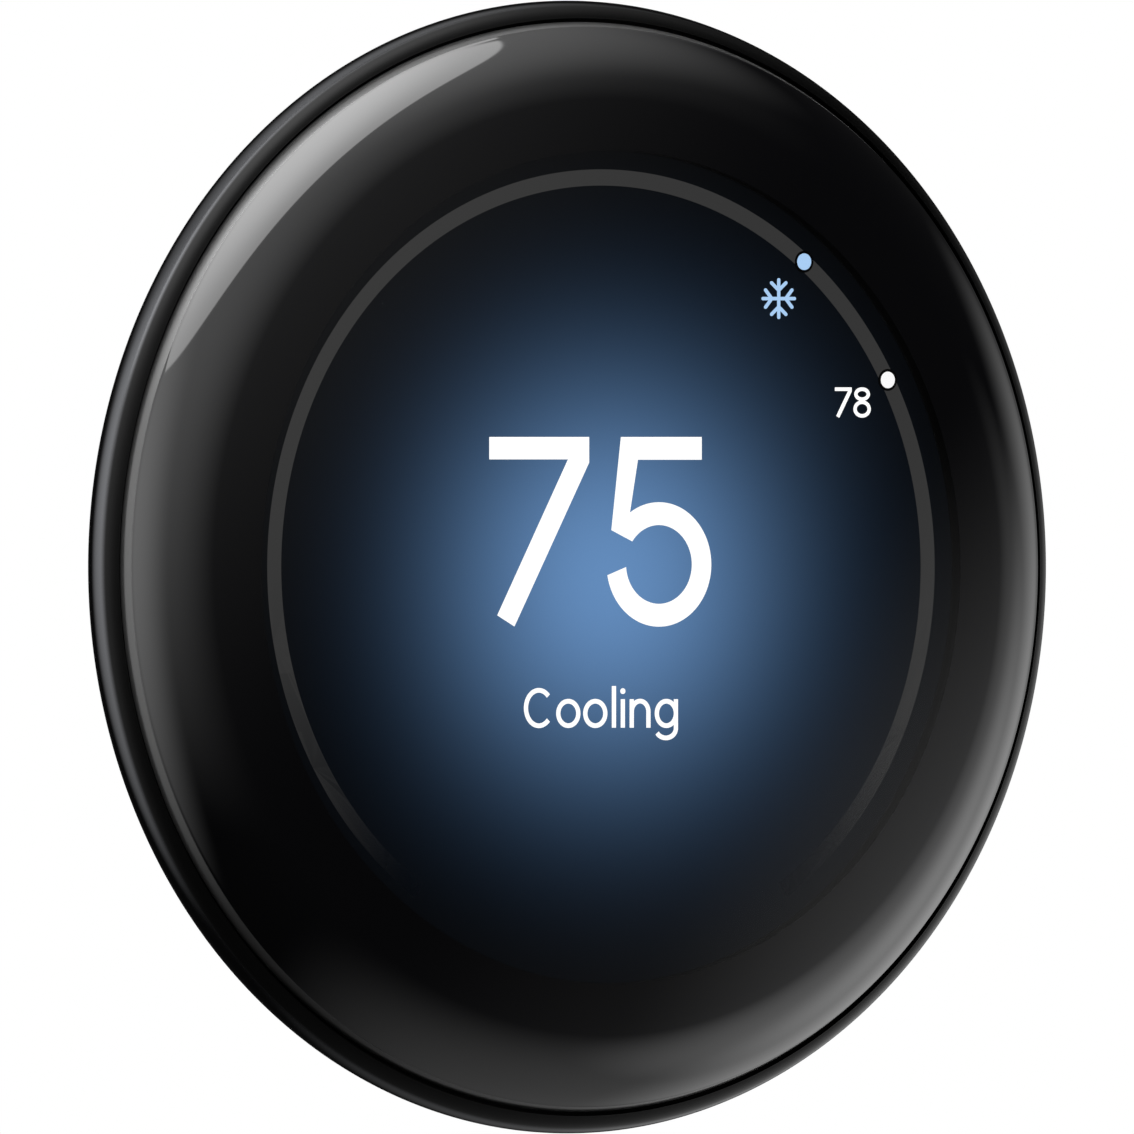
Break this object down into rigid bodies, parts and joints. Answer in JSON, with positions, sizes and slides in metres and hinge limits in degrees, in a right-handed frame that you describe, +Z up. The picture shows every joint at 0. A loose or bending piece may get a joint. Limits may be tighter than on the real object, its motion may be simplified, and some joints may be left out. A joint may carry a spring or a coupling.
{
  "type": "wall thermostat",
  "caption": "Round wall thermostat with a domed glass face that presses in, a turning metal rim ring, and a tapered body that pulls off a wall base with lever terminals.",
  "frame": {"origin": "centre of the base's back face, on the wall plane", "axes": "+Z up, +X to the viewer's right, the face looks along -Y, and the wall is on the +Y side"},
  "size_m": [0.098, 0.0272, 0.098],
  "materials": {
    "cover_glass": "domed black-backed cover glass, polished",
    "adhesive": "black sealing adhesive",
    "ring_metal": "polished dark steel",
    "encoder_plastic": "black moulded",
    "carrier_plastic": "black glass-filled plastic",
    "bearing_plastic": "natural acetal",
    "steel_sheet": "stamped steel sheet",
    "screw_steel": "zinc-plated steel",
    "backlight_film": "white light guide and films",
    "display_glass": "dark display cell",
    "sensor_black": "black epoxy package",
    "housing_plastic": "fine-textured dark plastic",
    "spring_steel": "bright spring steel",
    "board_green": "solder-masked circuit board",
    "foam_pad": "grey foam pad",
    "battery_foil": "silver laminated pouch",
    "tinned_steel": "tin-plated shield",
    "connector_plastic": "black moulded connector",
    "flex_film": "amber polyimide film",
    "base_plastic": "light grey plastic",
    "terminal_plastic": "grey moulded terminal body",
    "lever_plastic": "white moulded lever",
    "vial_glass": "green level vial"
  },
  "bodies": {
    "base": {"base_plate": "base_plastic", "base_board": "board_green", "power_switches": "sensor_black", "terminal_block_left": "terminal_plastic", "terminal_block_right": "terminal_plastic", "clamp_springs": "spring_steel", "base_cover": "base_plastic", "cover_screws": "screw_steel", "level_vial": "vial_glass", "base_socket": "connector_plastic", "retention_clips": "spring_steel"},
    "head": {"rear_housing": "housing_plastic", "shoulder_screws": "screw_steel", "return_springs": "spring_steel", "main_board": "board_green", "board_screws": "screw_steel", "battery_pad": "foam_pad", "battery": "battery_foil", "shield_cans": "tinned_steel", "sounder": "sensor_black", "tact_switch": "sensor_black", "flex_socket": "connector_plastic", "display_flex": "flex_film", "temperature_sensor": "sensor_black", "head_plug": "connector_plastic"},
    "front": {"cover_glass": "cover_glass", "glass_adhesive": "adhesive", "front_carrier": "carrier_plastic", "ring_bearing": "bearing_plastic", "ring_retainer": "steel_sheet", "retainer_screws": "screw_steel", "display_bracket": "steel_sheet", "backlight_unit": "backlight_film", "lcd_cell": "display_glass", "presence_sensor": "sensor_black", "light_sensor": "sensor_black", "encoder_sensor": "sensor_black"},
    "ring": {"outer_ring": "ring_metal", "encoder_strip": "encoder_plastic"},
    "plunger": {"switch_plunger": "bearing_plastic"},
    "lever_left_1": {"lever_left_1": "lever_plastic"},
    "lever_left_2": {"lever_left_2": "lever_plastic"},
    "lever_left_3": {"lever_left_3": "lever_plastic"},
    "lever_left_4": {"lever_left_4": "lever_plastic"},
    "lever_left_5": {"lever_left_5": "lever_plastic"},
    "lever_left_6": {"lever_left_6": "lever_plastic"},
    "lever_right_1": {"lever_right_1": "lever_plastic"},
    "lever_right_2": {"lever_right_2": "lever_plastic"},
    "lever_right_3": {"lever_right_3": "lever_plastic"},
    "lever_right_4": {"lever_right_4": "lever_plastic"},
    "lever_right_5": {"lever_right_5": "lever_plastic"},
    "lever_right_6": {"lever_right_6": "lever_plastic"}
  },
  "joints": [
    {"name": "head_release", "type": "slide", "parent": "base", "child": "head", "axis": [0, -1, 0], "range_m": [0, 0.03]},
    {"name": "face_press", "type": "slide", "parent": "head", "child": "front", "axis": [0, 1, 0], "range_m": [0, 0.0006], "stiffness_N_per_m": 3000, "springref_m": -0.0005, "deforming": ["return_springs", "display_flex"]},
    {"name": "ring_turn", "type": "hinge", "parent": "front", "child": "ring", "pos_m": [0, -0.0166, 0], "axis": [0, -1, 0], "continuous": true},
    {"name": "switch_press", "type": "slide", "parent": "head", "child": "plunger", "axis": [0, 1, 0], "range_m": [0, 0.00027]},
    {"name": "lever_left_1_press", "type": "hinge", "parent": "base", "child": "lever_left_1", "pos_m": [-0.02519, -0.0075, -0.014], "axis": [0, 0, 1], "range_deg": [0, 7], "stiffness_Nm_per_rad": 0.15, "springref_deg": -5.73},
    {"name": "lever_left_2_press", "type": "hinge", "parent": "base", "child": "lever_left_2", "pos_m": [-0.02519, -0.0075, -0.0084], "axis": [0, 0, 1], "range_deg": [0, 7], "stiffness_Nm_per_rad": 0.15, "springref_deg": -5.73},
    {"name": "lever_left_3_press", "type": "hinge", "parent": "base", "child": "lever_left_3", "pos_m": [-0.02519, -0.0075, -0.0028], "axis": [0, 0, 1], "range_deg": [0, 7], "stiffness_Nm_per_rad": 0.15, "springref_deg": -5.73},
    {"name": "lever_left_4_press", "type": "hinge", "parent": "base", "child": "lever_left_4", "pos_m": [-0.02519, -0.0075, 0.0028], "axis": [0, 0, 1], "range_deg": [0, 7], "stiffness_Nm_per_rad": 0.15, "springref_deg": -5.73},
    {"name": "lever_left_5_press", "type": "hinge", "parent": "base", "child": "lever_left_5", "pos_m": [-0.02519, -0.0075, 0.0084], "axis": [0, 0, 1], "range_deg": [0, 7], "stiffness_Nm_per_rad": 0.15, "springref_deg": -5.73},
    {"name": "lever_left_6_press", "type": "hinge", "parent": "base", "child": "lever_left_6", "pos_m": [-0.02519, -0.0075, 0.014], "axis": [0, 0, 1], "range_deg": [0, 7], "stiffness_Nm_per_rad": 0.15, "springref_deg": -5.73},
    {"name": "lever_right_1_press", "type": "hinge", "parent": "base", "child": "lever_right_1", "pos_m": [0.02519, -0.0075, -0.014], "axis": [0, 0, -1], "range_deg": [0, 7], "stiffness_Nm_per_rad": 0.15, "springref_deg": -5.73},
    {"name": "lever_right_2_press", "type": "hinge", "parent": "base", "child": "lever_right_2", "pos_m": [0.02519, -0.0075, -0.0084], "axis": [0, 0, -1], "range_deg": [0, 7], "stiffness_Nm_per_rad": 0.15, "springref_deg": -5.73},
    {"name": "lever_right_3_press", "type": "hinge", "parent": "base", "child": "lever_right_3", "pos_m": [0.02519, -0.0075, -0.0028], "axis": [0, 0, -1], "range_deg": [0, 7], "stiffness_Nm_per_rad": 0.15, "springref_deg": -5.73},
    {"name": "lever_right_4_press", "type": "hinge", "parent": "base", "child": "lever_right_4", "pos_m": [0.02519, -0.0075, 0.0028], "axis": [0, 0, -1], "range_deg": [0, 7], "stiffness_Nm_per_rad": 0.15, "springref_deg": -5.73},
    {"name": "lever_right_5_press", "type": "hinge", "parent": "base", "child": "lever_right_5", "pos_m": [0.02519, -0.0075, 0.0084], "axis": [0, 0, -1], "range_deg": [0, 7], "stiffness_Nm_per_rad": 0.15, "springref_deg": -5.73},
    {"name": "lever_right_6_press", "type": "hinge", "parent": "base", "child": "lever_right_6", "pos_m": [0.02519, -0.0075, 0.014], "axis": [0, 0, -1], "range_deg": [0, 7], "stiffness_Nm_per_rad": 0.15, "springref_deg": -5.73}
  ],
  "couplings": [
    {"joint": "switch_press", "follows": "face_press", "ratio": 0.45}
  ]
}
